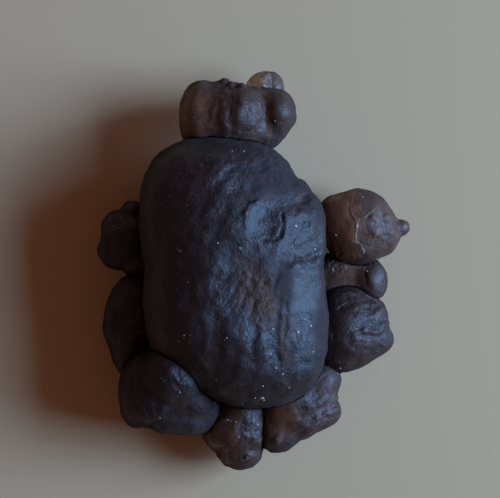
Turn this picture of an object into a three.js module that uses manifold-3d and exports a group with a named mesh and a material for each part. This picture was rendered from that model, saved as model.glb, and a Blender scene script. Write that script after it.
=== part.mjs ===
// A botryoidal chalcedony nodule: one dark, loaf-shaped dome ringed by grown-on lobes, flat underneath.
// Millimetres, +Z up. The flat underside is at z = 0 and the origin is under the middle of the stone.
import * as THREE from "three";
import { mergeVertices } from "three/addons/utils/BufferGeometryUtils.js";
import { ImprovedNoise } from "three/addons/math/ImprovedNoise.js";
import Module from "manifold-3d";

// Driving dimensions
const facetLength = 1.7; // typical triangle edge
const upwardShare = 0.3; // how far the triangles crowd towards the top, where the stone is seen
const rippleDepth = 0.16; // low, uneven relief over the whole skin
const rippleSpacing = 3.2;
const ripplePlace = new THREE.Vector3(7.3, 2.1, 0); // which stretch of the noise is used
const carvingFalloff = 1.5; // how steeply a groove's sides fall away
const leastDetail = 2; // even the smallest lobe has this many divisions
const searchSteps = 40;
const groundSize = 80; // the block that cuts the underside flat
const domeEquator = 10.2; // height at which the main dome is widest
const skirtEquator = 5.4; // the same for the lobes round its foot

// One swell is an ellipsoid or a rounded box: its middle, its half sizes, and, where they matter,
// its turn about Z and lean towards +X in degrees, and how square it is (2 is an ellipsoid).
const swell = (x, y, z, halfX, halfY, halfZ, { turn = 0, lean = 0, square = 2 } = {}) => ({
  middle: new THREE.Vector3(x, y, z),
  half: new THREE.Vector3(halfX, halfY, halfZ),
  turned: new THREE.Matrix3().setFromMatrix4(
    new THREE.Matrix4()
      .makeRotationZ(THREE.MathUtils.degToRad(turn))
      .multiply(new THREE.Matrix4().makeRotationY(THREE.MathUtils.degToRad(lean)))
      .transpose(),
  ),
  square,
});

// One carving is a groove or hollow along a segment. A negative depth raises a ridge.
const carving = (from, to, width, depth) => ({
  line: new THREE.Line3(new THREE.Vector3(...from), new THREE.Vector3(...to)),
  width,
  depth,
});

// Each lobe grew as its own ball, so it meets its neighbours in a sharp crease.
// The blend is how softly the swells of one lobe run into each other.
const lobes = {
  dome: {
    blend: 1.8,
    swells: [
      swell(-3.2, 0.0, domeEquator, 10.2, 15.4, 9.8, { lean: 8, square: 2.4 }),
      swell(-6.5, 7.5, domeEquator, 7.5, 8.6, 8.6, { square: 2.4 }),
      swell(-3.7, 10.7, domeEquator - 1.0, 8.6, 5.7, 7.8, { square: 2.3 }),
      swell(3.7, 4.3, domeEquator + 0.4, 5.3, 6.6, 6.0, { lean: 15, square: 2.7 }),
      swell(3.7, -6.4, domeEquator, 5.0, 8.8, 6.4, { lean: 18, square: 2.7 }),
      swell(0.2, -10.2, domeEquator - 0.8, 7.6, 6.9, 7.8, { square: 2.3 }),
      swell(-7.9, -4.9, domeEquator - 0.6, 5.2, 8.8, 8.2),
      swell(-2.0, 0.0, 5.0, 8.5, 12.5, 6.5),
    ],
    carvings: [
      carving([1.3, 6.6, 19.6], [2.2, 4.9, 19.6], 2.2, 0.7),
      carving([3.4, 6.8, 18.8], [3.3, 4.0, 18.8], 0.9, 0.35),
      carving([-0.4, 8.0, 19.6], [-1.0, 4.6, 19.8], 1.5, -0.3),
      carving([5.6, 5.6, 17.6], [6.0, 3.4, 17.4], 2.6, -0.45),
      carving([3.2, 0.9, 18.8], [9.6, 1.3, 14.0], 1.1, 0.65),
      carving([0.6, 0.2, 19.6], [1.4, -7.0, 19.2], 2.6, 0.5),
      carving([3.1, -4.0, 18.8], [3.0, -11.0, 17.6], 1.0, 0.5),
      carving([-4.4, -1.0, 19.8], [-3.6, -7.0, 19.4], 1.8, -0.3),
      carving([0.8, 12.0, 18.2], [3.2, 13.2, 17.0], 1.0, -0.3),
    ],
  },
  head: {
    blend: 0.9,
    swells: [
      swell(-4.0, 19.4, 7.6, 3.4, 3.9, 4.6, { square: 2.6 }),
      swell(-6.5, 19.3, 7.6, 2.8, 4.5, 4.8, { square: 3 }),
      swell(-1.6, 19.0, 8.2, 3.0, 4.2, 5.2, { square: 2.5 }),
      swell(-3.7, 23.2, 7.4, 0.9, 0.8, 1.2),
    ],
    carvings: [carving([-4.7, 24.0, 8.0], [-4.7, 15.0, 12.5], 1.2, 0.4)],
  },
  headRight: {
    blend: 0.7,
    swells: [
      swell(2.5, 19.8, 7.8, 2.8, 3.0, 4.4),
      swell(1.0, 17.8, 7.0, 2.8, 2.6, 4.0),
    ],
  },
  pearl: {
    blend: 0.4,
    swells: [
      swell(1.2, 23.3, 5.6, 2.0, 1.8, 2.2),
      swell(2.2, 23.0, 5.4, 1.6, 2.1, 1.9),
    ],
  },
  pear: {
    blend: 0.6,
    swells: [
      swell(13.2, 5.4, skirtEquator, 4.65, 4.75, 4.5),
      swell(11.4, 6.2, skirtEquator - 0.2, 3.8, 3.7, 4.1),
      swell(15.5, 4.6, skirtEquator - 0.2, 3.1, 3.0, 3.4),
    ],
  },
  nipple: {
    blend: 0.4,
    swells: [swell(18.3, 5.6, skirtEquator - 0.2, 1.35, 1.1, 1.1)],
  },
  bead: {
    blend: 0.7,
    swells: [
      swell(13.9, -1.1, 4.3, 2.3, 2.5, 2.6),
      swell(14.9, -1.4, 4.3, 1.9, 2.3, 2.3),
      swell(11.0, -0.2, 4.3, 3.0, 2.8, 3.0),
    ],
  },
  knob: {
    blend: 0.9,
    swells: [
      swell(11.9, -7.6, skirtEquator, 4.7, 4.8, 4.5),
      swell(15.3, -8.7, 4.6, 2.45, 2.2, 3.1),
      swell(14.6, -5.9, 5.2, 2.1, 2.6, 3.2),
      swell(10.8, -10.3, 5.0, 3.1, 2.6, 3.6),
      swell(11.8, -4.3, 4.8, 3.5, 2.6, 3.4),
    ],
    carvings: [
      carving([13.0, -3.6, 9.2], [16.4, -5.2, 7.6], 0.9, 0.3),
      carving([12.2, -6.8, 10.2], [16.6, -7.2, 8.0], 0.9, 0.3),
    ],
  },
  tailRight: {
    blend: 0.7,
    swells: [
      swell(5.6, -18.8, 4.9, 4.9, 2.6, 3.8, { turn: 22, square: 2.3 }),
      swell(2.9, -20.4, 4.8, 2.6, 2.65, 3.5),
      swell(9.1, -17.8, 4.6, 1.9, 1.8, 2.9),
      swell(3.6, -17.2, 5.4, 3.2, 2.8, 4.0),
    ],
  },
  tailLedge: {
    blend: 0.7,
    swells: [swell(7.3, -13.9, 5.0, 3.75, 2.6, 3.7, { square: 2.3 })],
  },
  tailLeft: {
    blend: 0.8,
    swells: [
      swell(-2.0, -20.2, skirtEquator, 3.6, 3.5, 4.3),
      swell(-3.1, -20.1, 5.0, 3.2, 3.1, 4.0),
      swell(-1.6, -22.4, 4.6, 2.8, 2.9, 3.2),
      swell(-3.4, -22.4, 4.2, 1.5, 1.8, 2.2),
      swell(-1.4, -17.8, 5.4, 3.2, 3.2, 4.4),
    ],
  },
  foot: {
    blend: 0.8,
    swells: [
      swell(-11.6, -14.8, 8.4, 5.25, 5.1, 5.7),
      swell(-6.9, -17.2, 7.2, 2.7, 3.2, 3.6),
      swell(-9.2, -16.6, 7.2, 3.6, 3.8, 4.8),
      swell(-14.2, -17.4, 6.4, 2.5, 2.4, 3.9),
      swell(-9.6, -13.0, 9.8, 3.2, 3.2, 4.2),
    ],
    carvings: [carving([-14.6, -15.2, 12.4], [-12.6, -19.6, 8.6], 0.9, 0.4)],
  },
  flankLow: {
    blend: 0.8,
    swells: [
      swell(-15.2, -6.4, 5.8, 3.75, 5.0, 4.3),
      swell(-15.8, -10.2, 5.2, 2.2, 3.0, 3.4),
      swell(-14.6, -2.9, 5.2, 2.8, 2.7, 3.4),
    ],
  },
  flankHigh: {
    blend: 0.6,
    swells: [
      swell(-15.6, 3.7, 5.6, 3.7, 3.5, 4.0),
      swell(-17.1, 2.1, 5.2, 2.3, 1.9, 2.6),
      swell(-18.75, 2.6, 5.2, 1.0, 1.1, 1.3),
      swell(-16.9, 5.4, 5.2, 2.3, 2.2, 2.8),
      swell(-15.3, 7.3, 5.0, 1.5, 1.6, 2.4),
      swell(-14.4, 1.2, 5.2, 2.4, 2.2, 3.4),
    ],
  },
  backHeel: {
    blend: 0.6,
    swells: [swell(4.3, 8.6, 3.2, 3.4, 3.4, 2.9)],
  },
};

const noise = new ImprovedNoise();

// Distance, near enough, from a point to one swell's skin: negative inside it.
function swellDistance(s, point) {
  const local = point.clone().sub(s.middle).applyMatrix3(s.turned);
  const shares = [local.x / s.half.x, local.y / s.half.y, local.z / s.half.z].map(Math.abs);
  const reach = Math.max(shares.reduce((sum, share) => sum + share ** s.square, 0) ** (1 / s.square), 1e-6);
  const slope = Math.hypot(
    ...shares.map((share, axis) => (share / reach) ** (s.square - 1) / s.half.getComponent(axis)),
  );
  return (reach - 1) / slope;
}

// The swells of a lobe run into each other over its blend width.
function lobeDistance(lobe, point) {
  return lobe.swells
    .map((s) => swellDistance(s, point))
    .reduce((a, b) => {
      const overlap = Math.max(lobe.blend - Math.abs(a - b), 0) / lobe.blend;
      return Math.min(a, b) - (overlap * overlap * lobe.blend) / 4;
    });
}

// How far the skin is pushed in at a point by the lobe's carvings.
function carvedDepth(lobe, point) {
  const nearest = new THREE.Vector3();
  return (lobe.carvings ?? []).reduce((depth, c) => {
    const away = c.line.closestPointToPoint(point, true, nearest).distanceTo(point) / c.width;
    return depth + c.depth * Math.exp(-away * away * carvingFalloff);
  }, 0);
}

// A closed skin for one lobe: a ball of triangles whose vertices are pushed out along their own rays.
function lobeGeometry(lobe) {
  const seed = lobe.swells[0].middle;
  const size = Math.max(...lobe.swells.map((s) => seed.distanceTo(s.middle) + Math.max(...s.half)));
  const detail = Math.max(leastDetail, Math.round(size / facetLength));
  const ball = new THREE.IcosahedronGeometry(1, detail);
  ball.deleteAttribute("normal");
  ball.deleteAttribute("uv");
  const geometry = mergeVertices(ball);
  const position = geometry.getAttribute("position");
  const ray = new THREE.Vector3();
  const point = new THREE.Vector3();
  for (let i = 0; i < position.count; i++) {
    ray.fromBufferAttribute(position, i).normalize();
    ray.z += upwardShare;
    ray.normalize();
    let inside = 0;
    let outside = 2 * size;
    for (let step = 0; step < searchSteps; step++) {
      const middle = (inside + outside) / 2;
      point.copy(seed).addScaledVector(ray, middle);
      if (lobeDistance(lobe, point) < 0) inside = middle;
      else outside = middle;
    }
    const place = point.clone().divideScalar(rippleSpacing).add(ripplePlace);
    const ripple = noise.noise(place.x, place.y, place.z) * 2 * rippleDepth;
    point.addScaledVector(ray, ripple - carvedDepth(lobe, point));
    position.setXYZ(i, point.x, point.y, point.z);
  }
  return geometry;
}

const wasm = await Module();
wasm.setup();

function solidFrom(geometry) {
  return new wasm.Manifold(
    new wasm.Mesh({
      numProp: 3,
      vertProperties: new Float32Array(geometry.getAttribute("position").array),
      triVerts: new Uint32Array(geometry.index.array),
    }),
  );
}

function geometryFrom(solid) {
  const mesh = solid.getMesh();
  return new THREE.BufferGeometry()
    .setAttribute("position", new THREE.BufferAttribute(mesh.vertProperties, 3))
    .setIndex(new THREE.BufferAttribute(mesh.triVerts, 1));
}

// Everything below the flat underside is cut away by this block.
function groundBlock() {
  const block = new THREE.BoxGeometry(groundSize, groundSize, groundSize);
  block.translate(0, 0, -groundSize / 2);
  block.deleteAttribute("normal");
  block.deleteAttribute("uv");
  return mergeVertices(block);
}

const grown = Object.values(lobes)
  .map((lobe) => solidFrom(lobeGeometry(lobe)))
  .reduce((a, b) => a.add(b));
const stoneGeometry = geometryFrom(grown.subtract(solidFrom(groundBlock())));
stoneGeometry.computeBoundingBox();
const centre = stoneGeometry.boundingBox.getCenter(new THREE.Vector3());
stoneGeometry.translate(-centre.x, -centre.y, 0);
stoneGeometry.computeVertexNormals();

const smokyChalcedony = new THREE.MeshStandardMaterial({
  color: new THREE.Color(0.035, 0.022, 0.02),
  roughness: 0.45,
  metalness: 0,
});

const stone = new THREE.Mesh(stoneGeometry, smokyChalcedony);
stone.name = "nodule";

const group = new THREE.Group();
group.add(stone);
export default group;
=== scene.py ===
# Smoky chalcedony nodule: a dark dome ringed by grown-on lobes, on a pale floor.
import math

import bmesh
import bpy
import numpy as np
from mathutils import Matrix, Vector
from mathutils.bvhtree import BVHTree


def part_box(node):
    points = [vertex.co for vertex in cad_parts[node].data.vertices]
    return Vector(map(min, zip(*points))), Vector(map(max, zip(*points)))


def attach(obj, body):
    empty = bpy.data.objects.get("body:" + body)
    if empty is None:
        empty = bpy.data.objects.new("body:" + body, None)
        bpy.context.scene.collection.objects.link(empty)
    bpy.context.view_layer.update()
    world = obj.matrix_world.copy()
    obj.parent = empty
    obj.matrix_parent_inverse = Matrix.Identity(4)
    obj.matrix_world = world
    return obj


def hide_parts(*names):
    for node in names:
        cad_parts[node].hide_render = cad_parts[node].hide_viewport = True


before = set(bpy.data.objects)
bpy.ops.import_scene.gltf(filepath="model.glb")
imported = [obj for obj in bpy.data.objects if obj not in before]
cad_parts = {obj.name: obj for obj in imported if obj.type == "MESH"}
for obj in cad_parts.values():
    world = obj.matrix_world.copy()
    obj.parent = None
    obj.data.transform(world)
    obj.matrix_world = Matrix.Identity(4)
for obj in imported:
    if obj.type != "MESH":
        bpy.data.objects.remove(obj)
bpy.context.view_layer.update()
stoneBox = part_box("nodule")
mm = 0.001
print("frame loaded, stone box", [tuple(round(v / mm, 2) for v in corner) for corner in stoneBox])

# where the camera stands, and where each point of the stone shows in its picture
view = {
    "picture": (500, 498),  # size of the picture in its own pixels
    "pixel": 0.125,  # mm on the stone for one pixel, at the height below
    "sharpHeight": 8.0,  # mm above the floor
    "distance": 300.0,  # mm from that height up to the lens
    "stoneMiddle": (253.5, 271.0),  # picture place of the frame's origin
    "sensor": 36.0,
    "clipStart": 0.01,  # metres
}
pictureMiddle = (view["picture"][0] / 2, view["picture"][1] / 2)
lensPlace = (
    -(view["stoneMiddle"][0] - pictureMiddle[0]) * view["pixel"],
    (view["stoneMiddle"][1] - pictureMiddle[1]) * view["pixel"],
    view["sharpHeight"] + view["distance"],
)


def pictureSpots(points):
    # picture place of each point of the stone, both in pixels
    enlarged = view["distance"] / (lensPlace[2] - points[:, 2]) / view["pixel"]
    across = pictureMiddle[0] + (points[:, 0] - lensPlace[0]) * enlarged
    down = pictureMiddle[1] - (points[:, 1] - lensPlace[1]) * enlarged
    return np.stack([across, down], 1)


# the lobes: each is a few swells that run into each other
# a swell is middle x, y, z, half sizes, then how square it is, its turn about Z and its lean to +X
lobes = {
    "dome": {
        "blend": 1.8,
        "swells": [
            (-3.2, 0.0, 10.2, 10.2, 15.4, 9.8, 2.4, 0, 8),
            (-6.5, 7.5, 10.2, 7.5, 8.6, 8.6, 2.4, 0, -3),
            (-3.7, 10.7, 8.8, 8.6, 5.7, 7.6, 2.3, 0, -8),
            (3.6, 4.3, 10.6, 5.05, 6.6, 6.0, 2.7, 0, 13),
            (3.7, -6.4, 10.2, 5.0, 8.8, 6.4, 2.7, 0, 18),
            (0.2, -10.2, 9.4, 7.6, 6.9, 7.8, 2.3),
            (-7.9, -4.9, 9.6, 5.2, 8.8, 8.2),
            (-2.0, 0.0, 5.0, 8.5, 12.5, 6.5),
        ],
    },
    "head": {
        "blend": 0.9,
        "swells": [
            (-4.0, 19.4, 7.6, 3.4, 3.9, 4.8, 2.4),
            (-6.4, 19.3, 7.6, 2.9, 4.5, 4.9, 2.25),
            (-2.5, 19.1, 7.8, 4.35, 4.3, 5.6, 2.2),
            (-3.9, 23.05, 7.4, 0.9, 0.8, 1.2),
            (2.9, 19.7, 7.4, 2.4, 3.0, 4.4),
            (0.8, 17.6, 7.0, 3.0, 2.6, 3.9),
            (0.9, 19.5, 6.8, 3.2, 3.4, 3.9, 2.6),
        ],
    },
    "pearl": {
        "blend": 0.4,
        "swells": [
            (1.0, 23.2, 5.6, 1.9, 1.9, 2.2),
            (2.3, 22.9, 5.4, 1.6, 2.2, 2.0),
            (0.4, 22.2, 5.4, 1.6, 1.8, 2.0),
        ],
    },
    "pear": {
        "blend": 0.4,
        "swells": [
            (13.2, 5.55, 5.4, 4.65, 4.9, 4.5),
            (11.4, 6.2, 5.2, 3.8, 3.7, 4.1),
            (15.5, 4.7, 5.2, 3.0, 3.1, 3.4),
            (15.0, 6.0, 5.2, 2.9, 2.6, 3.2),
            (18.3, 5.45, 5.2, 1.3, 1.05, 1.1, 2.3),
        ],
    },
    "bead": {
        "blend": 0.6,
        "swells": [
            (14.8, -1.3, 4.5, 2.15, 2.6, 2.7),
            (11.6, -0.8, 3.5, 4.6, 3.0, 2.9, 3.2),
        ],
    },
    "knob": {
        "blend": 0.9,
        "swells": [
            (11.9, -7.6, 5.4, 4.7, 4.8, 4.5),
            (15.3, -8.7, 4.6, 2.45, 2.2, 3.1),
            (14.8, -6.1, 5.2, 2.2, 2.7, 3.2),
            (13.3, -9.6, 4.8, 2.5, 2.4, 3.2),
            (10.8, -10.3, 5.0, 3.1, 2.6, 3.6),
            (11.8, -4.3, 4.8, 3.5, 2.6, 3.4),
        ],
    },
    "tailRight": {
        "blend": 1.1,
        "swells": [
            (5.6, -18.8, 4.9, 4.9, 2.6, 3.8, 2.3, 22),
            (2.9, -20.4, 4.8, 2.6, 2.65, 3.5),
            (9.1, -17.8, 4.6, 1.9, 1.8, 2.9),
            (3.6, -17.2, 5.4, 3.2, 2.8, 4.0),
            (7.3, -13.9, 5.2, 3.75, 2.6, 3.9, 2.3),
            (7.0, -16.2, 5.2, 3.2, 2.4, 4.0),
            (5.2, -16.6, 5.6, 3.2, 2.6, 4.1),
        ],
    },
    "tailLeft": {
        "blend": 0.8,
        "swells": [
            (-2.0, -20.2, 5.4, 3.6, 3.5, 4.3),
            (-3.5, -20.1, 5.0, 3.0, 2.9, 4.0),
            (-1.6, -22.4, 4.6, 2.8, 2.9, 3.2),
            (-3.3, -22.6, 4.2, 1.5, 1.8, 2.2),
            (-1.4, -17.8, 5.4, 3.2, 3.2, 4.4),
        ],
    },
    "foot": {
        "blend": 0.8,
        "swells": [
            (-11.6, -14.8, 8.4, 5.25, 5.1, 5.7),
            (-6.9, -17.2, 7.2, 2.7, 3.2, 3.6),
            (-9.2, -16.8, 7.2, 3.6, 3.8, 4.8, 3.0),
            (-8.6, -15.2, 9.8, 2.8, 2.8, 4.4),
            (-14.2, -17.4, 6.4, 2.5, 2.4, 3.9),
            (-9.9, -12.9, 11.8, 3.8, 3.8, 4.8),
            (-7.0, -15.6, 8.6, 2.6, 2.8, 4.4),
        ],
    },
    "flankLow": {
        "blend": 0.8,
        "swells": [
            (-15.2, -6.4, 5.8, 3.75, 5.0, 4.3),
            (-15.8, -10.2, 5.2, 2.2, 3.0, 3.4),
            (-14.6, -2.9, 5.2, 2.8, 2.7, 3.4),
        ],
    },
    "flankHigh": {
        "blend": 0.6,
        "swells": [
            (-15.6, 3.7, 5.6, 3.7, 3.5, 4.0),
            (-17.1, 2.1, 5.2, 2.3, 1.9, 2.6),
            (-18.75, 2.6, 5.2, 1.0, 1.1, 1.3),
            (-16.9, 5.4, 5.2, 2.3, 2.2, 2.8),
            (-15.3, 7.3, 5.0, 1.5, 1.6, 2.4),
            (-14.4, 1.2, 5.2, 2.4, 2.2, 3.4),
        ],
    },
    "backHeel": {"blend": 0.6, "swells": [(4.3, 8.6, 3.2, 3.4, 3.4, 2.9)]},
}
lobeNames = list(lobes)


def swellDistance(points, x, y, z, halfX, halfY, halfZ, square=2, turn=0, lean=0):
    # near enough the distance to one swell's skin in mm, negative inside it
    half = np.array([halfX, halfY, halfZ])
    t = math.radians(turn)
    b = math.radians(lean)
    turned = np.array([[math.cos(t), -math.sin(t), 0], [math.sin(t), math.cos(t), 0], [0, 0, 1]])
    leaned = np.array([[math.cos(b), 0, math.sin(b)], [0, 1, 0], [-math.sin(b), 0, math.cos(b)]])
    shares = np.abs((points - (x, y, z)) @ (turned @ leaned)) / half
    reach = np.maximum((shares ** square).sum(1) ** (1 / square), 1e-6)
    slope = np.sqrt((((shares / reach[:, None]) ** (square - 1) / half) ** 2).sum(1))
    return (reach - 1) / slope


def lobeDistance(points, lobe):
    distance = swellDistance(points, *lobe["swells"][0])
    for swell in lobe["swells"][1:]:
        other = swellDistance(points, *swell)
        overlap = np.maximum(lobe["blend"] - np.abs(distance - other), 0) / lobe["blend"]
        distance = np.minimum(distance, other) - overlap * overlap * lobe["blend"] / 4
    return distance


def lobeSkin(lobe, divisions):
    # a ball of triangles whose points are pushed out along their rays until they meet the skin
    ball = bmesh.new()
    bmesh.ops.create_icosphere(ball, subdivisions=divisions, radius=1)
    rays = np.array([v.co for v in ball.verts])
    faces = np.array([[v.index for v in f.verts] for f in ball.faces])
    ball.free()
    seed = np.array(lobe["swells"][0][:3])
    reaches = [np.linalg.norm(seed - s[:3]) + max(s[3:6]) for s in lobe["swells"]]
    inside = np.zeros(len(rays))
    outside = np.full(len(rays), 2 * max(reaches))
    for halving in range(22):
        half = (inside + outside) / 2
        within = lobeDistance(seed + rays * half[:, None], lobe) < 0
        inside = np.where(within, half, inside)
        outside = np.where(within, outside, half)
    return seed + rays * inside[:, None], faces


# noise, in layers that differ from each other
rng = np.random.default_rng(7)
gradients = rng.normal(size=(256, 3))
gradients /= np.linalg.norm(gradients, axis=1)[:, None]
cellPrimes = (73856093, 19349663, 83492791)
layerShift = 17.3
noiseHeight = 1.7
noiseLayer = {
    "warts": 9,
    "crests": 11,
    "fineCrests": 12,
    "wander": 20,
    "fineWander": 22,
    "uneven": 24,
    "whitePatches": 25,
    "streaks": 30,
}


def noise(points, spacing, layer=0):
    # smooth noise from about -1 to 1; spacing is a number, or one for each axis
    p = points / spacing + layer * layerShift
    cell = np.floor(p).astype(np.int64)
    f = p - cell
    ease = f * f * f * (f * (f * 6 - 15) + 10)
    total = np.zeros(len(p))
    for corner in np.ndindex(2, 2, 2):
        c = cell + corner
        stirred = (c[:, 0] * cellPrimes[0]) ^ (c[:, 1] * cellPrimes[1]) ^ (c[:, 2] * cellPrimes[2])
        pick = gradients[(stirred ^ (stirred >> 9)) & 255]
        weight = np.where(np.array(corner) == 1, ease, 1 - ease).prod(1)
        total += weight * ((f - corner) * pick).sum(1)
    return total * noiseHeight


def smooth(low, high, value):
    # 0 below low, 1 above high, easing between
    t = np.clip((value - low) / (high - low), 0, 1)
    return t * t * (3 - 2 * t)


# lines and patches drawn on the stone, in picture pixels
def lineDistance(spots, line):
    # mm to a drawn line, its side (+1 left of it going along, -1 right), and how far its ends fade
    nearest = np.full(len(spots), 1e9)
    side = np.zeros(len(spots))
    travelled = np.zeros(len(spots))
    length = 0
    for start, end in zip(line, line[1:]):
        run = np.array(end, float) - start
        share = np.clip((spots - start) @ run / (run @ run), 0, 1)
        away = spots - (start + share[:, None] * run)
        distance = np.hypot(away[:, 0], away[:, 1])
        closer = distance < nearest
        nearest[closer] = distance[closer]
        side[closer] = -np.sign(run[0] * away[:, 1] - run[1] * away[:, 0])[closer]
        travelled[closer] = (length + share * np.hypot(*run))[closer]
        length += np.hypot(*run)
    fromEnd = np.minimum(travelled, length - travelled) / length
    return nearest * view["pixel"], side, smooth(0, 0.15, fromEnd)


def patch(spots, x, y, radiusX, radiusY, turn=0):
    # 1 in the middle of an oval, easing to 0 past its rim
    t = math.radians(turn)
    dx = spots[:, 0] - x
    dy = spots[:, 1] - y
    along = dx * math.cos(t) - dy * math.sin(t)
    aside = dx * math.sin(t) + dy * math.cos(t)
    return 1 - smooth(0.4, 1.4, np.hypot(along / radiusX, aside / radiusY))


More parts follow.
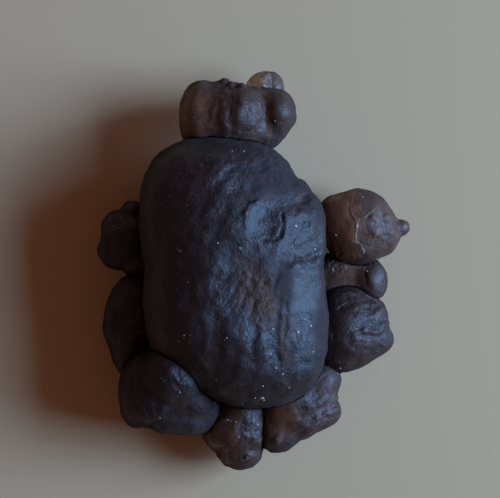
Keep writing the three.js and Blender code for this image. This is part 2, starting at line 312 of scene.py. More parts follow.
# marks on the skin, drawn lobe by lobe
# groove: depth and width in mm, then its line; a negative depth is a ridge
# ledge: height in mm on the line's left-hand side, the mm over which it fades, then its line
# hollow: depth in mm, then an oval's middle, its two radii and its turn; a negative depth is a bump
marks = {
    "dome": {
        "grooves": [
            (0.36, 0.36, [(327, 260), (318, 258), (312, 260), (305, 261), (297, 263), (290, 266),
                          (281, 265)]),
            (0.14, 0.45, [(284, 265), (275, 268), (266, 264)]),
            (0.18, 0.30, [(328, 267), (318, 268), (310, 270), (302, 268), (296, 271)]),
            (0.24, 0.34, [(280, 268), (277, 280), (275, 296), (279, 306), (280, 318), (276, 330),
                          (276, 342)]),
            (0.22, 0.30, [(276, 336), (277, 350), (281, 364)]),
            (0.18, 0.34, [(287, 300), (287, 314), (284, 324), (285, 334), (283, 348)]),
            (-0.08, 0.22, [(254, 177), (259, 173), (265, 172), (270, 168), (276, 165), (282, 163)]),
            (-0.05, 0.25, [(262, 184), (270, 178), (280, 171)]),
            (0.08, 0.45, [(258, 181), (266, 178), (274, 171), (284, 168)]),
            (0.24, 0.18, [(281, 210), (283, 221), (282, 230), (279, 236), (272, 240), (264, 240),
                          (257, 238)]),
            (0.10, 0.32, [(246, 266), (240, 280), (232, 296), (226, 312)]),
            (0.10, 0.32, [(258, 270), (250, 286), (243, 303), (236, 318)]),
            (0.10, 0.30, [(268, 274), (262, 290), (256, 304), (248, 322)]),
            (0.08, 0.40, [(232, 262), (226, 276), (218, 290)]),
            (0.10, 0.40, [(262, 352), (270, 348), (276, 350)]),
            (0.08, 0.35, [(284, 356), (292, 352), (302, 352), (312, 348)]),
            (0.08, 0.40, [(282, 372), (292, 366), (306, 364), (318, 358)]),
            (0.10, 0.35, [(228, 396), (246, 399), (262, 400), (280, 397), (292, 391)]),
            (-0.06, 0.5, [(166, 190), (173, 184), (179, 178)]),
            (0.08, 0.7, [(206, 186), (202, 210), (200, 236)]),
        ],
        "ledges": [
            (0.36, 1.5, [(260, 198), (250, 203), (245, 211), (243, 222), (246, 234)]),
            (0.15, 1.6, [(281, 206), (283, 214), (284, 222), (283, 230), (280, 237), (272, 241), (262, 242)]),
            (0.22, 0.9, [(326, 256), (314, 256), (305, 259), (294, 263), (284, 264)]),
            (0.10, 0.8, [(250, 330), (247, 345), (252, 362)]),
            (0.10, 0.8, [(262, 318), (259, 334), (262, 350), (268, 362)]),
        ],
        "hollows": [
            (0.40, 266, 221, 13, 18, 0),
            (-0.12, 240, 220, 15, 22, 0),
            (-0.12, 300, 214, 6, 5, 0),
            (-0.12, 313, 226, 5, 6, 0),
            (-0.14, 296, 244, 6, 5, 0),
            (-0.12, 315, 247, 4, 4, 0),
            (-0.12, 307, 252, 4, 3, 0),
            (0.16, 305, 198, 6, 6, 0),
            (0.12, 306, 266, 4, 2, 0),
            (0.12, 319, 263, 3, 2, 0),
            (0.40, 243, 285, 24, 38, 6),
            (-0.22, 300, 276, 20, 20, 0),
            (0.14, 302, 334, 11, 34, 0),
            (-0.24, 294, 232, 20, 26, 0),
            (0.12, 302, 200, 11, 10, 0),
            (0.45, 200, 376, 26, 9, -50),
            (-0.35, 198, 345, 17, 36, 0),
            (0.25, 205, 310, 20, 38, 0),
            (-0.20, 304, 358, 18, 24, 0),
            (-0.36, 234, 354, 16, 32, 0),
            (-0.28, 252, 358, 20, 30, 0),
            (-0.25, 261, 348, 7, 20, 0),
        ],
    },
    "head": {
        "grooves": [
            (0.08, 0.50, [(218, 84), (218, 100), (217, 116), (218, 134)]),
            (0.08, 0.35, [(226, 88), (227, 104), (226, 128)]),
            (0.10, 0.30, [(233, 92), (232, 110), (234, 130)]),
            (-0.12, 0.22, [(213, 106), (212, 114), (213, 122)]),
            (-0.10, 0.22, [(221, 97), (221, 106)]),
            (0.14, 0.22, [(238, 132), (244, 131), (251, 132)]),
            (0.16, 0.28, [(218, 83), (224, 84), (232, 87), (240, 86), (250, 87), (258, 89)]),
        ],
        "ledges": [
            (-0.28, 0.8, [(258, 86), (262, 96), (264, 108), (261, 119), (255, 126), (248, 132)]),
        ],
        "hollows": [
            (-0.35, 247, 108, 16, 24, 0),
            (0.15, 232, 104, 6, 22, 0),
            (-0.30, 225, 81, 4, 3, 0),
            (-0.25, 232, 84, 3, 3, 0),
            (-0.20, 242, 86, 3, 2, 0),
            (-0.10, 286, 110, 8, 10, 0),
        ],
    },
    "pearl": {
        "grooves": [
            (0.22, 0.2, [(255, 82), (261, 81), (268, 82)]),
            (-0.14, 0.22, [(274, 82), (277, 88), (279, 92)]),
            (0.12, 0.2, [(270, 74), (272, 80), (271, 88)]),
        ],
        "hollows": [(-0.15, 266, 76, 4, 3, 0), (-0.15, 264, 87, 4, 3, 0), (0.12, 257, 76, 4, 4, 0)],
    },
    "pear": {
        "grooves": [
            (0.12, 0.26, [(350, 200), (349, 210), (354, 220), (354.6, 230)]),
            (-0.10, 0.24, [(361, 218), (369, 213)]),
            (0.10, 0.30, [(376, 214), (384, 220), (386, 230), (381, 238)]),
            (-0.08, 0.30, [(370, 226), (374, 234), (381, 240), (390, 238)]),
            (0.14, 0.30, [(396, 218), (396, 226), (399, 237)]),
        ],
        "ledges": [(0.05, 1.8, [(370, 207), (368, 218), (369, 230), (372, 241)])],
        "hollows": [
            (-0.18, 373, 218, 4, 3, 0),
            (-0.18, 387, 218, 4, 3, 0),
            (-0.18, 378, 234, 6, 4, 0),
            (0.10, 381, 224, 4, 3, 0),
            (-0.10, 391, 232, 3, 4, 0),
        ],
    },
    "bead": {
        "grooves": [(0.18, 0.34, [(368, 264), (365, 274), (366, 284), (370, 292)])],
    },
    "knob": {
        "grooves": [
            (-0.20, 0.30, [(360, 316), (366, 318), (371, 317), (377, 312), (386, 309)]),
            (0.18, 0.28, [(362, 308), (372, 309), (380, 305), (386, 304)]),
            (-0.18, 0.34, [(349, 338), (356, 334), (366, 332), (375, 333), (381, 327), (390, 321)]),
            (0.20, 0.30, [(356, 324), (364, 325), (372, 328), (379, 324), (388, 317)]),
            (-0.14, 0.26, [(353, 340), (360, 342), (369, 341), (377, 341)]),
            (0.16, 0.24, [(362, 337), (370, 337), (378, 336)]),
            (0.14, 0.30, [(350, 350), (360, 349), (372, 351), (384, 345)]),
            (-0.14, 0.24, [(371, 299), (377, 304), (382, 308)]),
            (0.14, 0.28, [(342, 300), (350, 296), (360, 297), (369, 303)]),
            (-0.10, 0.28, [(344, 314), (352, 306), (358, 310)]),
        ],
        "ledges": [(-0.16, 0.8, [(336, 366), (350, 365), (364, 361), (380, 353)])],
        "hollows": [(0.14, 374, 329, 3, 2.4, 0), (0.10, 358, 329, 4, 3, 0)],
    },
    "tailRight": {
        "ledges": [
            (-0.14, 0.8, [(296, 416), (306, 405), (318, 399), (334, 394)]),
            (-0.20, 0.8, [(304, 428), (316, 417), (328, 410), (342, 406)]),
        ],
        "grooves": [
            (0.22, 0.30, [(272, 436), (278, 440), (281, 447)]),
            (-0.16, 0.26, [(274, 438), (277, 442), (279, 448)]),
            (0.14, 0.3, [(284, 444), (296, 438), (308, 432)]),
        ],
        "hollows": [(-0.25, 277, 442, 4, 5, 0), (0.20, 300, 436, 8, 4, 20)],
    },
    "tailLeft": {
        "grooves": [
            (-0.12, 0.20, [(240, 456), (242, 460), (246, 460), (248, 456)]),
            (0.12, 0.24, [(241, 452), (245, 456), (247, 450)]),
            (-0.10, 0.20, [(225, 449), (228, 456), (229, 465)]),
            (0.16, 0.34, [(218, 452), (226, 446), (236, 444), (243, 440)]),
            (0.10, 0.26, [(244, 420), (240, 430), (242, 440)]),
            (0.16, 0.3, [(246, 449), (254, 450), (264, 448)]),
        ],
        "hollows": [
            (-0.30, 254, 424, 7, 7, 0),
            (-0.30, 255, 439, 7, 6, 0),
            (-0.20, 250, 457, 6, 5, 0),
            (-0.25, 212, 443, 5, 6, 0),
            (0.25, 217, 455, 5, 3, 0),
        ],
    },
    "foot": {
        "grooves": [
            (0.14, 0.32, [(136, 392), (142, 402), (147, 412), (150, 420), (152, 430)]),
            (0.18, 0.34, [(151, 424), (158, 421), (166, 414)]),
            (0.14, 0.30, [(172, 368), (173, 378), (178, 392)]),
            (0.14, 0.30, [(178, 370), (180, 380), (187, 392)]),
        ],
        "hollows": [
            (-0.18, 163, 409, 5, 4, 0),
            (-0.14, 147, 418, 4, 6, 0),
            (-0.20, 178, 380, 20, 6, -50),
            (-0.20, 200, 404, 10, 10, 0),
        ],
    },
    "flankHigh": {
        "grooves": [
            (0.18, 0.4, [(106, 236), (110, 246), (108, 262)]),
            (0.12, 0.4, [(122, 210), (128, 220), (136, 226)]),
        ],
    },
    "flankLow": {
        "grooves": [(0.14, 0.5, [(112, 300), (118, 320), (116, 345)])],
    },
}

# the skin
skin = {
    "cell": 0.43,  # mm, size of the mesh's cells, halved where the skin faces up
    "domeDivisions": 7,
    "lobeDivisions": 6,
    "creaseCells": 0.3,  # mm from a crease within which cells are halved once more
    "creaseCellsAbove": 2,  # mm above the floor where that begins
    "whiteCells": 0.22,  # mm from a white line within which cells are halved twice more
    "settleMost": 0.15,  # mm that one turn of settling may move a point
    "settleShare": 0.8,  # and its share of the way
    "slopeStep": 0.02,  # mm to each side at which the skin's slope is read
    "floorBand": 0.06,  # mm above the floor where the skin is the flat cut
    "facing": (0.0, 0.3),  # marks and layers below begin and are full where the skin faces up this much
    "plainRough": 0.3,  # how rough the skin is outside the rough places
    "sideRough": 0.5,  # and on the sides and below
    "sideCrags": 0.25,
    "uneven": (1.3, 0.8, 0.7),  # drawn marks are deeper in places: spacing in mm, middle and swing
    # each layer of relief: spacing in mm, height in mm where smooth, height where rough
    "ripple": (3.2, 0.16, 0.16),
    "lumps": (1.6, 0.06, 0.15),
    "pebbles": (0.85, 0.02, 0.075),
    "grain": (0.42, 0.008, 0.040),
    "warts": (1.1, 0.03, 0.08),
    "crags": (0.75, 0.17),  # spacing in mm, height in mm where craggy
    "creaseWidth": 0.13,
    "creaseDepth": 0.05,
    "calm": (0.7, 0.3),  # share of the relief that a crease takes away, and the mm over which
    "shoulder": 0.35,  # mm beside a crease where the skin is dull
    "dirtAndShadeDepth": (0.1, 0.3),  # grooves deeper than this begin to hold dirt and painted shade, and are full of it
    "dirtAndShadeMost": 0.8,
    "wander": (1.5, 1.8, 0.5, 0.8),  # drawn lines stray: spacing in mm, picture pixels, and again finer
    # rough places: how rough, then an oval's middle, its radii and its turn
    "rough": [
        (1.0, 262, 300, 30, 50, 22),
        (0.7, 222, 300, 16, 50, 8),
        (0.7, 290, 235, 40, 34, 0),
        (0.6, 250, 170, 40, 26, 0),
        (0.7, 285, 345, 30, 34, 0),
        (0.5, 260, 385, 50, 20, 0),
        (1.0, 368, 326, 26, 32, 0),
        (0.6, 318, 408, 28, 30, 0),
        (0.9, 250, 112, 14, 24, 0),
        (0.5, 226, 108, 16, 26, 0),
        (0.5, 284, 114, 14, 20, 0),
        (1.0, 253, 434, 11, 22, 0),
        (0.9, 382, 226, 18, 22, 0),
        (1.0, 195, 392, 24, 26, 0),
        (0.7, 160, 412, 20, 14, 0),
        (0.8, 336, 262, 10, 16, 0),
        (0.9, 264, 82, 20, 14, 0),
        (1.0, 250, 110, 14, 22, 0),
    ],
    # craggy places, as above
    "craggy": [
        (1.0, 240, 84, 26, 6, 0),
        (1.0, 259, 114, 7, 20, 0),
        (0.8, 303, 259, 26, 8, 12),
        (0.9, 337, 262, 10, 14, 0),
        (0.9, 266, 82, 16, 12, 0),
        (0.15, 322, 405, 22, 30, 0),
        (0.7, 254, 434, 9, 22, 0),
        (0.7, 182, 380, 22, 8, -50),
        (0.7, 202, 402, 14, 12, 0),
        (0.6, 258, 296, 26, 42, 22),
        (0.3, 240, 168, 56, 28, 0),
        (0.35, 368, 326, 20, 20, 0),
        (0.4, 384, 228, 14, 14, 0),
        (0.4, 280, 345, 18, 30, 0),
        (0.5, 225, 108, 12, 22, 0),
    ],
    # sleek places, such as the brown half of the pear
    "sleek": [
        (1.0, 338, 226, 22, 40, 0),
        (0.6, 194, 118, 20, 26, 0),
        (0.9, 280, 418, 17, 15, 0),
        (1.0, 346, 276, 20, 16, 0),
        (0.8, 216, 436, 10, 16, 0),
        (0.7, 267, 112, 5, 20, 0),
    ],
}


def meshArray(mesh, name):
    values = np.empty(len(mesh.vertices) * 3)
    mesh.vertices.foreach_get(name, values)
    return values.reshape(-1, 3)


points = []
faces = []
count = 0
for name, lobe in lobes.items():
    skinPoints, skinFaces = lobeSkin(lobe, skin["domeDivisions"] if name == "dome" else skin["lobeDivisions"])
    points.append(skinPoints)
    faces.append(skinFaces + count)
    count += len(skinPoints)
points = np.concatenate(points)
points[:, 2] = np.maximum(points[:, 2], 0)
faces = np.concatenate(faces)
print("lobes grown:", len(points), "points")

grown = bpy.data.meshes.new("grownLobes")
grown.from_pydata(points, [], faces.tolist())
stone = bpy.data.objects.new("stone", grown)
bpy.context.scene.collection.objects.link(stone)
fuse = stone.modifiers.new("fuse", "REMESH")
fuse.mode = "VOXEL"
fuse.voxel_size = skin["cell"]
fused = bpy.data.meshes.new_from_object(stone.evaluated_get(bpy.context.evaluated_depsgraph_get()))
stone.modifiers.clear()
stone.data = fused
bpy.data.meshes.remove(grown)
print("lobes fused:", len(fused.vertices), "points")


def strongest(spots, ovals, least=0.0):
    # at each place the strength of the oval that shows most there
    amount = np.full(len(spots), least)
    for strength, *oval in ovals:
        amount = np.maximum(amount, strength * patch(spots, *oval))
    return amount


# white cracks, scratches and threads: half width in mm, how white, then the line
whiteLines = [
    (0.035, 0.6, [(353, 198), (351.4, 203), (351.0, 208), (352.5, 213), (355.3, 217), (357.2, 221)]),
    (0.07, 1.0, [(357.4, 223), (357.7, 226), (357.3, 229)]),
    (0.05, 1.0, [(357.4, 222), (356.9, 229), (356.2, 232), (356.0, 237), (356.8, 245)]),
    (0.07, 1.0, [(356.3, 232), (356.0, 235), (356.1, 239)]),
    (0.05, 0.7, [(353.5, 242.5), (357, 242.2), (359.5, 244)]),
    (0.04, 0.6, [(359.5, 244), (361.5, 245), (362.3, 248), (364.2, 250), (363.4, 253)]),
    (0.02, 0.25, [(358, 220), (361.5, 217.6), (365, 216), (369, 213), (374, 210.5)]),
    (0.035, 0.7, [(327, 239), (330, 242)]),
    (0.03, 0.5, [(330, 262), (331, 266), (333, 269), (333, 274)]),
    (0.03, 0.4, [(331, 262), (334, 263), (337, 261), (338, 266)]),
    (0.03, 0.4, [(335, 247), (338, 250), (337, 255)]),
    (0.03, 0.25, [(343, 294), (349, 292), (356, 294)]),
    (0.03, 0.35, [(337, 309), (340, 306), (343, 305), (347, 302)]),
    (0.03, 0.3, [(334, 333), (331, 337), (332, 341), (335, 342)]),
    (0.02, 0.3, [(355, 195), (358, 193), (362, 195)]),
    (0.02, 0.25, [(366, 296), (371, 299), (377, 303)]),
    (0.025, 0.35, [(225, 450), (227.5, 455), (228.5, 460), (229, 465)]),
    (0.03, 0.35, [(242, 459), (244, 460.5), (246.5, 459), (247, 456)]),
]


def surfaceNormals(mesh):
    # which way the mesh itself faces at each point
    mesh.update()
    return meshArray(mesh, "normal")


def refine(mesh, wanted):
    # cuts each wanted cell in four
    fine = bmesh.new()
    fine.from_mesh(mesh)
    fine.faces.ensure_lookup_table()
    middles = np.array([f.calc_center_median() for f in fine.faces])
    upwards = np.array([f.normal.z for f in fine.faces])
    edges = {e for f, w in zip(fine.faces, wanted(middles, upwards)) if w for e in f.edges}
    bmesh.ops.subdivide_edges(fine, edges=list(edges), cuts=1, use_grid_fill=True)
    fine.to_mesh(mesh)
    fine.free()


def toLobes(points):
    # mm from each point to each lobe's skin
    return np.stack([lobeDistance(points, lobe) for lobe in lobes.values()], 1)


def creaseGap(points):
    # how much farther the second nearest lobe is than the nearest: 0 in a crease
    nearestTwo = np.sort(toLobes(points), axis=1)[:, :2]
    return nearestTwo[:, 1] - nearestTwo[:, 0]


def settle(mesh):
    # draws each point onto the lobes' true skin
    most = skin["settleMost"]
    for turn in range(2):
        points = meshArray(mesh, "co")
        distance = toLobes(points).min(1)
        distance[points[:, 2] < skin["floorBand"]] = 0
        points -= surfaceNormals(mesh) * np.clip(distance, -most, most)[:, None] * skin["settleShare"]
        points[:, 2] = np.maximum(points[:, 2], 0)
        mesh.vertices.foreach_set("co", points.ravel())
    mesh.update()


def facingCamera(middles, upwards):
    # every cell that faces up at all
    return upwards > 0.05


def nearCrease(middles, upwards):
    near = creaseGap(middles) < skin["creaseCells"]
    return near & (upwards > 0) & (middles[:, 2] > skin["creaseCellsAbove"])


def nearWhite(middles, upwards):
    distances = [lineDistance(pictureSpots(middles), line)[0] for width, strength, line in whiteLines]
    return (upwards > 0.2) & (np.min(distances, axis=0) < skin["whiteCells"])


refine(fused, facingCamera)
print("skin refined:", len(fused.vertices), "points")
settle(fused)
refine(fused, nearCrease)
settle(fused)
print("creases refined:", len(fused.vertices), "points")
refine(fused, nearWhite)
refine(fused, nearWhite)
triangles = sum(len(f.vertices) - 2 for f in fused.polygons)
print("cells refined, now", len(fused.vertices), "points and", triangles, "triangles")


def skinNormals(points):
    # which way the lobes' true skin faces, smoother than the mesh's own normals
    slopes = []
    for step in skin["slopeStep"] * np.eye(3):
        slopes.append(toLobes(points + step).min(1) - toLobes(points - step).min(1))
    slopes = np.stack(slopes, 1)
    return slopes / np.linalg.norm(slopes, axis=1)[:, None]


points = meshArray(fused, "co")
normals = skinNormals(points)
owner = toLobes(points).argmin(1)
gap = creaseGap(points)
crease = np.exp(-(gap / skin["creaseWidth"]) ** 2)
grounded = points[:, 2] < skin["floorBand"]
facingUp = smooth(*skin["facing"], normals[:, 2])
trueSpots = pictureSpots(points)
spots = trueSpots.copy()
spacing, stray, fineSpacing, fineStray = skin["wander"]
for axis in (0, 1):
    spots[:, axis] += stray * noise(points, spacing, noiseLayer["wander"] + axis)
    spots[:, axis] += fineStray * noise(points, fineSpacing, noiseLayer["fineWander"] + axis)
roughAbove = strongest(spots, skin["rough"], skin["plainRough"]) * (1 - strongest(spots, skin["sleek"]))
rough = roughAbove * facingUp + skin["sideRough"] * (1 - facingUp)


def onLobe(name):
    return (owner == lobeNames.index(name)).astype(float)


# relief: low ripples, lumps, pebbles, grain and warts everywhere
relief = np.zeros(len(points))
for layer, key in enumerate(("ripple", "lumps", "pebbles", "grain")):
    spacing, low, high = skin[key]
    relief += noise(points, spacing, layer) * (low + (high - low) * rough)
spacing, low, high = skin["warts"]
warts = smooth(0.35, 0.8, noise(points, spacing, noiseLayer["warts"]))
relief += warts * (low + (high - low) * rough) * (rough > 0.05)

# crags: sharp crests, in the craggy places and over the unseen sides a little
spacing, height = skin["crags"]
craggy = strongest(spots, skin["craggy"]) * facingUp + skin["sideCrags"] * (1 - facingUp)
crests = 1 - 2.2 * np.abs(noise(points, spacing, noiseLayer["crests"]))
crests -= 0.8 * np.abs(noise(points, spacing / 2, noiseLayer["fineCrests"]))
relief += height * craggy * np.clip(crests, -0.6, 1)

# streaks: fine ridges that run one way over a place, with crisp edges where they are plates
# turn, spacing in mm along and across, height in mm, then an oval, its lobe, and whether they are plates
streaks = [
    (62, 1.6, 0.50, 0.035, (258, 300, 46, 66, 20), "dome", False),
    (62, 0.8, 0.30, 0.025, (258, 300, 46, 66, 20), "dome", False),
    (50, 1.8, 0.60, 0.05, (250, 168, 50, 28, 0), "dome", False),
    (34, 3.6, 0.66, 0.22, (320, 402, 30, 34, 0), "tailRight", True),
    (38, 2.0, 0.32, 0.08, (318, 404, 30, 34, 0), "tailRight", True),
    (12, 2.4, 0.55, 0.08, (368, 326, 22, 22, 0), "knob", True),
    (80, 2.0, 0.60, 0.05, (226, 110, 18, 24, 0), "head", False),
]
for layer, (turn, long, wide, height, oval, lobe, plates) in enumerate(streaks):
    t = math.radians(turn)
    along = points[:, 0] * math.cos(t) + points[:, 1] * math.sin(t)
    aside = -points[:, 0] * math.sin(t) + points[:, 1] * math.cos(t)
    swung = np.stack([along, aside, points[:, 2]], 1)
    swing = noise(swung, np.array([long, wide, 4 * wide]), noiseLayer["streaks"] + layer)
    swing = smooth(-0.12, 0.12, swing) - 0.5 if plates else swing
    relief += height * swing * patch(spots, *oval) * facingUp * onLobe(lobe)

# the drawn marks, deeper in some places than in others
spacing, middle, swingBy = skin["uneven"]
uneven = np.clip(middle + swingBy * noise(points, spacing, noiseLayer["uneven"]), 0.2, 1.3)
groovedDirtAndShade = np.zeros(len(points))
for name, kinds in marks.items():
    here = onLobe(name) * facingUp * uneven
    for depth, width, line in kinds.get("grooves", []):
        distance, side, fade = lineDistance(spots, line)
        relief -= here * fade * depth * np.exp(-1.5 * (distance / width) ** 2)
        # deep grooves hold dirt, and painted shade with it
        dirtAndShade = here * fade * smooth(*skin["dirtAndShadeDepth"], depth) * np.exp(-3 * (distance / width) ** 2)
        groovedDirtAndShade = np.maximum(groovedDirtAndShade, np.minimum(dirtAndShade, skin["dirtAndShadeMost"]))
    for height, reach, line in kinds.get("ledges", []):
        distance, side, fade = lineDistance(spots, line)
        step = smooth(-0.15, 0.15, distance * side) * np.exp(-distance / reach)
        relief += here * fade * height * step
    for depth, x, y, radiusX, radiusY, turn in kinds.get("hollows", []):
        relief -= onLobe(name) * facingUp * depth * patch(spots, x, y, radiusX, radiusY, turn)
calmShare, calmWidth = skin["calm"]
relief *= 1 - calmShare * np.exp(-(gap / calmWidth) ** 2)
relief -= crease * skin["creaseDepth"]

moved = points + normals * relief[:, None]
moved[grounded, 2] = 0
moved[:, 2] = np.maximum(moved[:, 2], 0)

# the finished skin fills the frame's box exactly
low, high = moved.min(0), moved.max(0)
boxLow, boxHigh = (np.array(corner) / mm for corner in stoneBox)
fitted = boxLow + (moved - low) * (boxHigh - boxLow) / (high - low)
print("fit to the frame, scale", ((boxHigh - boxLow) / (high - low)).round(4))
fused.vertices.foreach_set("co", (fitted * mm).ravel())
fused.polygons.foreach_set("use_smooth", np.ones(len(fused.polygons), bool))
fused.update()


def keep(name, values):
    # leaves a number on each point, for the materials to read
    fused.attributes.new(name, "FLOAT", "POINT").data.foreach_set("value", values.astype(np.float32))


# colours and finish
finish = {
    "dark": (0.0068, 0.0027, 0.0025, 1),
    "veined": (0.030, 0.0085, 0.0062, 1),
    "brown": (0.18, 0.066, 0.028, 1),
    # dark brown for the dirt in the grooves and the painted shade in the creases
    "dirtAndShade": (0.014, 0.006, 0.004, 1),
    "white": (0.36, 0.34, 0.32, 1),
    "pale": (0.74, 0.52, 0.34, 1),
    "paleCloud": (0.26, 0.15, 0.085, 1),
    # painted shade for the pearl's low right
    "pearlShadedBrown": (0.24, 0.10, 0.045, 1),
    "gloss": 0.37,
    "pearlGloss": 0.1,
    "sleek": 0.36,  # roughness where the skin is smooth
    "dull": 0.60,  # roughness of most of the skin
    "side": 0.95,  # roughness of the steep sides
    "creaseShading": 1.0,  # roughness beside the creases
    "glint": 0.13,  # how much less rough are the flecks that catch the light
    "leastRough": 0.3,
    "refraction": 1.54,
    "glow": (0.1, 0.85),  # share of light that goes under the skin, where dark and where brown
    "glowReach": (1.0, 0.42, 0.25),  # how far red, green and blue go there, as shares of the next
    "glowDepth": 0.002,  # metres
    "pearlClear": 0.85,  # share of light that passes through the pearl
    "pearlRough": (0.45, 0.75),  # roughness of its clear and cloudy places
    # how far the creases and deep grooves are darkened by painted shade and dirt
    "dirtAndShadeCover": 0.85,
    "paintedShadeFrom": 0.25,  # how deep in a crease the painted shade material begins
    "pearlUnshaded": 0.3,  # mm around the pearl with no painted crease shade
    # noise in the colours: lumps for each metre, detail and roughness
    "veins": (800, 5, 0.65),
    "mottle": (600, 4, 0.6),
    "flecks": (3200, 2, 0.5),
    "cloud": (1100, 4, 0.65),
    "grain": (2400, 3, 0.62),
    "blisters": 2900,  # for each metre
    "grainHeight": 0.0002,  # metres
    "grainBump": 0.6,
    "pearlBump": 0.7,
}

tint = {
    # brown places: how brown, then an oval's middle, its radii and its turn
    "brown": {
        "pear": [(1.3, 342, 226, 24, 44, 0), (0.40, 384, 226, 40, 40, 0)],
        "head": [(0.75, 192, 118, 30, 40, 0), (0.55, 268, 112, 6, 30, 0), (0.22, 240, 110, 70, 40, 0)],
        "bead": [(0.5, 348, 276, 24, 20, 0), (0.2, 376, 280, 20, 20, 0)],
        "tailLeft": [(0.45, 222, 432, 22, 36, 0), (0.15, 250, 440, 24, 40, 0)],
        "tailRight": [(0.55, 280, 418, 22, 26, 0), (0.2, 320, 408, 40, 40, 0)],
        "dome": [(0.26, 257, 292, 20, 34, 24), (0.2, 284, 344, 6, 26, 0), (0.08, 150, 300, 16, 70, 0)],
        "knob": [(0.12, 360, 330, 50, 50, 0)],
        # on the pearl this is painted shade, at its low right
        "pearl": [(1.0, 277, 86, 14, 18, 0)],
    },
    # roughness of the skin in places that differ from the rest, then the oval
    "sheen": [
        (0.88, 274, 176, 34, 22, 0),
        (0.47, 210, 190, 20, 40, 0),
        (0.48, 186, 212, 18, 44, 0),
        (0.50, 204, 268, 12, 18, 0),
        (0.82, 258, 290, 24, 38, 24),
        (0.85, 284, 282, 10, 24, 0),
        (0.85, 288, 354, 8, 18, 0),
        (0.85, 322, 344, 9, 50, 0),
        (0.85, 322, 212, 8, 16, 0),
        (0.78, 202, 402, 14, 14, 0),
        (0.72, 284, 342, 7, 30, 0),
        (0.68, 146, 392, 26, 40, 0),
        (0.64, 178, 424, 34, 10, 0),
    ],
}
brown = np.zeros(len(points))
for name, ovals in tint["brown"].items():
    for strength, x, y, radiusX, radiusY, turn in ovals:
        here = onLobe(name) * patch(spots, x, y, radiusX, radiusY, turn)
        brown = np.maximum(brown, here * strength)
sheen = finish["sleek"] + (finish["dull"] - finish["sleek"]) * np.clip(rough / 0.35, 0, 1)
for value, *oval in tint["sheen"]:
    sheen += (value - sheen) * patch(spots, *oval)
sheen += (finish["side"] - sheen) * (1 - smooth(0.2, 0.6, normals[:, 2]))
shoulder = np.maximum(np.exp(-(gap / skin["shoulder"]) ** 2), groovedDirtAndShade)
sheen += (finish["creaseShading"] - sheen) * shoulder
white = np.zeros(len(points))
for width, strength, line in whiteLines:
    distance, side, fade = lineDistance(trueSpots + 0.4 * (spots - trueSpots), line)
    white = np.maximum(white, (1 - smooth(width * 0.5, width + 0.05, distance)) * strength * facingUp)
white *= np.clip(0.85 + 0.7 * noise(points, 0.5, noiseLayer["whitePatches"]), 0.5, 1)
keep("brown", brown)
keep("white", white)
# painted shade along the creases, with dirt and painted shade in the deep grooves
keep("crease", np.maximum(crease, groovedDirtAndShade))
keep("sheen", sheen)
keep("rough", rough)
print("tints laid")


def linkedNoise(tree, scale, detail, roughness):
    # noise in the piece's own space; scale is in lumps for each metre
    place = tree.nodes.new("ShaderNodeTexCoord")
    texture = tree.nodes.new("ShaderNodeTexNoise")
    texture.inputs["Scale"].default_value = scale
    texture.inputs["Detail"].default_value = detail
    texture.inputs["Roughness"].default_value = roughness
    tree.links.new(place.outputs["Object"], texture.inputs["Vector"])
    return texture.outputs["Fac"]


def mixed(tree, factor, a, b):
    # a colour between a and b, which are colours or sockets
    mix = tree.nodes.new("ShaderNodeMix")
    mix.data_type = "RGBA"
    for name, value in (("Factor", factor), ("A", a), ("B", b)):
        socket = next(i for i in mix.inputs if i.name == name and i.enabled)
        if isinstance(value, bpy.types.NodeSocket):
            tree.links.new(value, socket)
        else:
            socket.default_value = value
    return next(o for o in mix.outputs if o.enabled)


def calculated(tree, operation, *values):
    answer = tree.nodes.new("ShaderNodeMath")
    answer.operation = operation
    for socket, value in zip(answer.inputs, values):
        if isinstance(value, bpy.types.NodeSocket):
            tree.links.new(value, socket)
        else:
            socket.default_value = value
    return answer.outputs[0]


def remapped(tree, value, fromLow, fromHigh, toLow, toHigh):
    remap = tree.nodes.new("ShaderNodeMapRange")
    limits = {"From Min": fromLow, "From Max": fromHigh, "To Min": toLow, "To Max": toHigh}
    for name, number in limits.items():
        remap.inputs[name].default_value = number
    tree.links.new(value, remap.inputs["Value"])
    return remap.outputs["Result"]


def stored(tree, name):
    attribute = tree.nodes.new("ShaderNodeAttribute")
    attribute.attribute_name = name
    return attribute.outputs["Fac"]


def cells(tree, scale):
    # distance to the nearest of many scattered points
    place = tree.nodes.new("ShaderNodeTexCoord")
    texture = tree.nodes.new("ShaderNodeTexVoronoi")
    texture.inputs["Scale"].default_value = scale
    tree.links.new(place.outputs["Object"], texture.inputs["Vector"])
    return texture.outputs["Distance"]


def grainBump(tree, strength):
    # fine grain, pits and blisters, stronger where the skin is rough
    grain = linkedNoise(tree, *finish["grain"])
    blisters = cells(tree, finish["blisters"])
    height = calculated(tree, "MULTIPLY_ADD", blisters, -0.5, grain)
    amount = remapped(tree, stored(tree, "rough"), 0, 1, 0.35, 1)
    bump = tree.nodes.new("ShaderNodeBump")
    bump.inputs["Strength"].default_value = strength
    bump.inputs["Distance"].default_value = finish["grainHeight"]
    tree.links.new(calculated(tree, "MULTIPLY", height, amount), bump.inputs["Height"])
    return bump.outputs["Normal"]


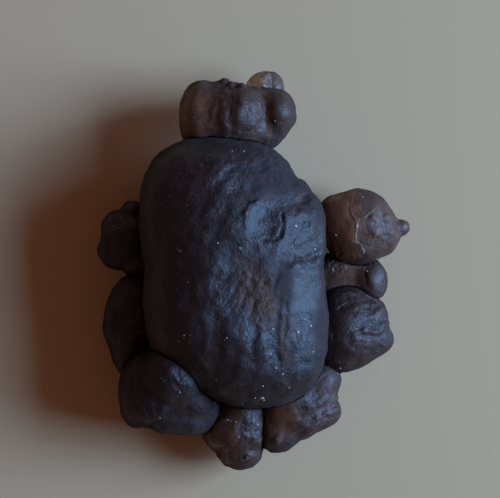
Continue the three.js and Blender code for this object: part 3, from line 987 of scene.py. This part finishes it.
def chalcedony():
    material = bpy.data.materials.new("smokyChalcedony")
    material.use_nodes = True
    tree = material.node_tree
    shader = tree.nodes["Principled BSDF"]
    shader.inputs["IOR"].default_value = finish["refraction"]
    shader.inputs["Specular IOR Level"].default_value = finish["gloss"]
    shader.inputs["Subsurface Radius"].default_value = finish["glowReach"]
    shader.inputs["Subsurface Scale"].default_value = finish["glowDepth"]
    glow = remapped(tree, stored(tree, "brown"), 0, 0.6, *finish["glow"])
    tree.links.new(glow, shader.inputs["Subsurface Weight"])
    veins = remapped(tree, linkedNoise(tree, *finish["veins"]), 0.35, 0.7, 0, 1)
    body = mixed(tree, veins, finish["dark"], finish["veined"])
    mottle = remapped(tree, linkedNoise(tree, *finish["mottle"]), 0.3, 0.7, 0.55, 1.2)
    brownness = calculated(tree, "MULTIPLY", stored(tree, "brown"), mottle)
    colour = mixed(tree, brownness, body, finish["brown"])
    # creases and deep grooves darkened: painted shade, with dirt as well in the grooves
    cover = calculated(tree, "MULTIPLY", stored(tree, "crease"), finish["dirtAndShadeCover"])
    colour = mixed(tree, cover, colour, finish["dirtAndShade"])
    colour = mixed(tree, stored(tree, "white"), colour, finish["white"])
    tree.links.new(colour, shader.inputs["Base Color"])
    flecks = remapped(tree, linkedNoise(tree, *finish["flecks"]), 0.56, 0.66, 0, 1)
    where = remapped(tree, stored(tree, "rough"), 0.35, 0.9, 0.15, 1)
    sparkle = calculated(tree, "MULTIPLY", calculated(tree, "MULTIPLY", flecks, where), finish["glint"])
    glossed = calculated(tree, "SUBTRACT", stored(tree, "sheen"), sparkle)
    tree.links.new(calculated(tree, "MAXIMUM", glossed, finish["leastRough"]), shader.inputs["Roughness"])
    tree.links.new(grainBump(tree, finish["grainBump"]), shader.inputs["Normal"])
    return material


def paintedCreaseShade():
    # painted shade: a dull, dark material that reflects nothing, at the bottom of the creases
    material = bpy.data.materials.new("paintedCreaseShade")
    material.use_nodes = True
    shader = material.node_tree.nodes["Principled BSDF"]
    shader.inputs["Base Color"].default_value = finish["dirtAndShade"]
    shader.inputs["Roughness"].default_value = 1.0
    shader.inputs["Specular IOR Level"].default_value = 0.0
    return material


def paleChalcedony():
    # the see-through pearl, cloudy in places, with painted shade making it browner at its low right
    material = bpy.data.materials.new("paleChalcedony")
    material.use_nodes = True
    tree = material.node_tree
    shader = tree.nodes["Principled BSDF"]
    shader.inputs["IOR"].default_value = finish["refraction"]
    shader.inputs["Transmission Weight"].default_value = finish["pearlClear"]
    cloud = linkedNoise(tree, *finish["cloud"])
    colour = mixed(tree, cloud, finish["pale"], finish["paleCloud"])
    shadow = calculated(tree, "MULTIPLY", stored(tree, "brown"), 0.9)
    tree.links.new(mixed(tree, shadow, colour, finish["pearlShadedBrown"]), shader.inputs["Base Color"])
    tree.links.new(remapped(tree, cloud, 0.3, 0.7, *finish["pearlRough"]), shader.inputs["Roughness"])
    shader.inputs["Specular IOR Level"].default_value = finish["pearlGloss"]
    tree.links.new(grainBump(tree, finish["pearlBump"]), shader.inputs["Normal"])
    return material


fused.materials.clear()
fused.materials.append(chalcedony())
fused.materials.append(paleChalcedony())
fused.materials.append(paintedCreaseShade())
onPearl = onLobe("pearl") > 0
# faces deep in a crease take the painted shade material, except around the pearl
creaseShading = np.where(lobeDistance(points, lobes["pearl"]) < finish["pearlUnshaded"], 0, crease)
for face in fused.polygons:
    corners = list(face.vertices)
    deepInCreaseShade = creaseShading[corners].mean() > finish["paintedShadeFrom"]
    face.material_index = 2 if deepInCreaseShade else int(onPearl[corners].all())
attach(stone, "root")
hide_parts("nodule")
print("stone dressed")

# dust and glints: pale grains on the skin, partly dust stuck to it and partly painted glints; some at listed
# picture places, the rest scattered
dustAndGlints = {
    # picture place and width in picture pixels
    "seen": [
        (296, 226, 3), (336, 235, 2.4), (298, 332, 3), (311, 326, 2.4), (305, 319, 1.8), (313, 352, 2),
        (273, 329, 1.8), (227, 338, 1.6), (271, 354, 1.8), (276, 368, 2), (283, 374, 1.8), (289, 388, 1.8),
        (255, 398, 1.8), (262, 398, 4), (264, 400, 2.6), (263, 386, 2), (216, 380, 1.6), (215, 403, 2),
        (242, 404, 2), (275, 406, 2), (278, 406, 1.6), (184, 335, 1.8), (184, 338, 1.4), (179, 341, 1.6),
        (180, 251, 2), (218, 243, 1.6), (240, 248, 1.8), (315, 249, 2), (232, 151, 1.8), (244, 151, 1.8),
        (228, 420, 2), (226, 420, 1.6), (231, 421, 1.6), (236, 422, 1.6), (239, 437, 1.6), (258, 425, 1.8),
        (114, 226, 1.8), (367, 271, 2.2), (349, 371, 2.2), (363, 197, 1.8), (334, 250, 2), (377, 259, 2),
        (357, 226, 2.2), (180, 392, 1.8), (160, 418, 1.6),
        # the first three here are painted glints on the pearl, and the fourth a painted glint on the head's
        # right lobe
        (268, 75, 2.2), (264, 86, 2), (277, 88, 2), (275, 121, 1.8), (405, 226, 1.6), (340, 368, 2.4),
        (345, 372, 2), (338, 374, 1.8), (330, 244, 1.8), (333, 256, 1.8), (331, 250, 1.4),
    ],
    "scattered": 260,
    "scatteredWidth": (0.4, 1.1),  # picture pixels
    "tries": 900,
    "across": (98, 408),  # picture pixels
    "down": (72, 470),
    "leastUp": 0.25,  # dust lies only where the skin faces up at least this much
    "jagged": (0.6, 1.25),
    "flat": 0.6,
    "colour": (0.50, 0.47, 0.44, 1),
    "shade": (0.26, 0.20, 0.15, 1),
    "mottle": (900, 2, 0.5),
    "rough": 0.8,
}


def speck(place, normal, radius):
    # a small jagged grain, sunk half-way into the skin
    shape = speckBall * rng.uniform(*dustAndGlints["jagged"], (len(speckBall), 1)) * radius
    upright = Vector(normal).to_track_quat("Z", "Y").to_matrix()
    return np.array(place) + (shape * (1, 1, dustAndGlints["flat"])) @ np.array(upright).T


ball = bmesh.new()
bmesh.ops.create_icosphere(ball, subdivisions=1, radius=1)
speckBall = np.array([v.co for v in ball.verts])
speckFaces = np.array([[v.index for v in f.verts] for f in ball.faces])
ball.free()
skinTree = BVHTree.FromPolygons([tuple(v) for v in fitted], [tuple(f.vertices) for f in fused.polygons])
lens = Vector(lensPlace)
wantedSpecks = list(dustAndGlints["seen"])
tries = dustAndGlints["tries"]
small, large = dustAndGlints["scatteredWidth"]
draws = zip(rng.uniform(*dustAndGlints["across"], tries), rng.uniform(*dustAndGlints["down"], tries), rng.uniform(0, 1, tries))
for x, y, share in draws:
    wantedSpecks.append((x, y, small + (large - small) * share ** 3))
speckPoints = []
for x, y, width in wantedSpecks:
    if len(speckPoints) >= len(dustAndGlints["seen"]) + dustAndGlints["scattered"]:
        break
    onSharpPlane = Vector((
        lensPlace[0] + (x - pictureMiddle[0]) * view["pixel"],
        lensPlace[1] - (y - pictureMiddle[1]) * view["pixel"],
        view["sharpHeight"],
    ))
    place, normal, face, distance = skinTree.ray_cast(lens, (onSharpPlane - lens).normalized())
    if place is not None and normal.z > dustAndGlints["leastUp"]:
        speckPoints.append(speck(place, normal, width * view["pixel"] / 2))
dustAndGlintsMesh = bpy.data.meshes.new("dustAndGlints")
dustAndGlintsFaces = np.concatenate([speckFaces + len(speckBall) * i for i in range(len(speckPoints))])
dustAndGlintsMesh.from_pydata((np.concatenate(speckPoints) * mm).tolist(), [], dustAndGlintsFaces.tolist())
dustAndGlintsPiece = bpy.data.objects.new("dustAndGlints", dustAndGlintsMesh)
bpy.context.scene.collection.objects.link(dustAndGlintsPiece)
dustAndGlintsMaterial = bpy.data.materials.new("paleDustAndGlints")
dustAndGlintsMaterial.use_nodes = True
dustAndGlintsTree = dustAndGlintsMaterial.node_tree
dustAndGlintsShader = dustAndGlintsTree.nodes["Principled BSDF"]
dustAndGlintsShader.inputs["Roughness"].default_value = dustAndGlints["rough"]
dustAndGlintsTint = mixed(dustAndGlintsTree, linkedNoise(dustAndGlintsTree, *dustAndGlints["mottle"]), dustAndGlints["colour"], dustAndGlints["shade"])
dustAndGlintsTree.links.new(dustAndGlintsTint, dustAndGlintsShader.inputs["Base Color"])
dustAndGlintsMesh.materials.append(dustAndGlintsMaterial)
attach(dustAndGlintsPiece, "root")
print("dust laid:", len(speckPoints), "grains")

# floor, light and camera
stage = {
    "floorSize": 1.2,
    "floorColour": (0.56, 0.342, 0.186, 1),
    "keyPlace": (0.46, 0.05, 0.235),
    "keyAim": (0, 0, 0.01),
    "keySize": (0.30, 0.40),
    "keyPower": 9.8,
    "keyColour": (0.27, 0.535, 1.0),
    "skyColour": (1.0, 0.60, 0.50, 1),
    "skyStrength": 0.128,
}

floorMesh = bpy.data.meshes.new("floor")
half = stage["floorSize"] / 2
floorCorners = [(-half, -half, 0), (half, -half, 0), (half, half, 0), (-half, half, 0)]
floorMesh.from_pydata(floorCorners, [], [(0, 1, 2, 3)])
floor = bpy.data.objects.new("floor", floorMesh)
bpy.context.scene.collection.objects.link(floor)
floorMaterial = bpy.data.materials.new("paleFloor")
floorMaterial.use_nodes = True
floorShader = floorMaterial.node_tree.nodes["Principled BSDF"]
floorShader.inputs["Base Color"].default_value = stage["floorColour"]
floorShader.inputs["Roughness"].default_value = 1.0
floorShader.inputs["Specular IOR Level"].default_value = 0.0
floorMesh.materials.append(floorMaterial)


def areaLight(name, place, size, power, colour):
    data = bpy.data.lights.new(name, "AREA")
    data.shape = "RECTANGLE"
    data.size, data.size_y = size
    data.energy = power
    data.color = colour
    lamp = bpy.data.objects.new(name, data)
    lamp.location = place
    lamp.rotation_euler = (Vector(stage["keyAim"]) - Vector(place)).to_track_quat("-Z", "Y").to_euler()
    bpy.context.scene.collection.objects.link(lamp)


areaLight("windowLight", stage["keyPlace"], stage["keySize"], stage["keyPower"], stage["keyColour"])

world = bpy.data.worlds.new("softRoom")
world.use_nodes = True
sky = world.node_tree.nodes["Background"]
sky.inputs["Color"].default_value = stage["skyColour"]
sky.inputs["Strength"].default_value = stage["skyStrength"]
bpy.context.scene.world = world
bpy.context.scene.view_settings.view_transform = "Standard"

cameraData = bpy.data.cameras.new("overhead")
cameraData.sensor_width = view["sensor"]
seenWidth = view["picture"][0] * view["pixel"]
cameraData.lens = view["sensor"] * view["distance"] / seenWidth
cameraData.clip_start = view["clipStart"]
camera = bpy.data.objects.new("overhead", cameraData)
camera.location = [v * mm for v in lensPlace]
bpy.context.scene.collection.objects.link(camera)
bpy.context.scene.camera = camera
print("stage set")
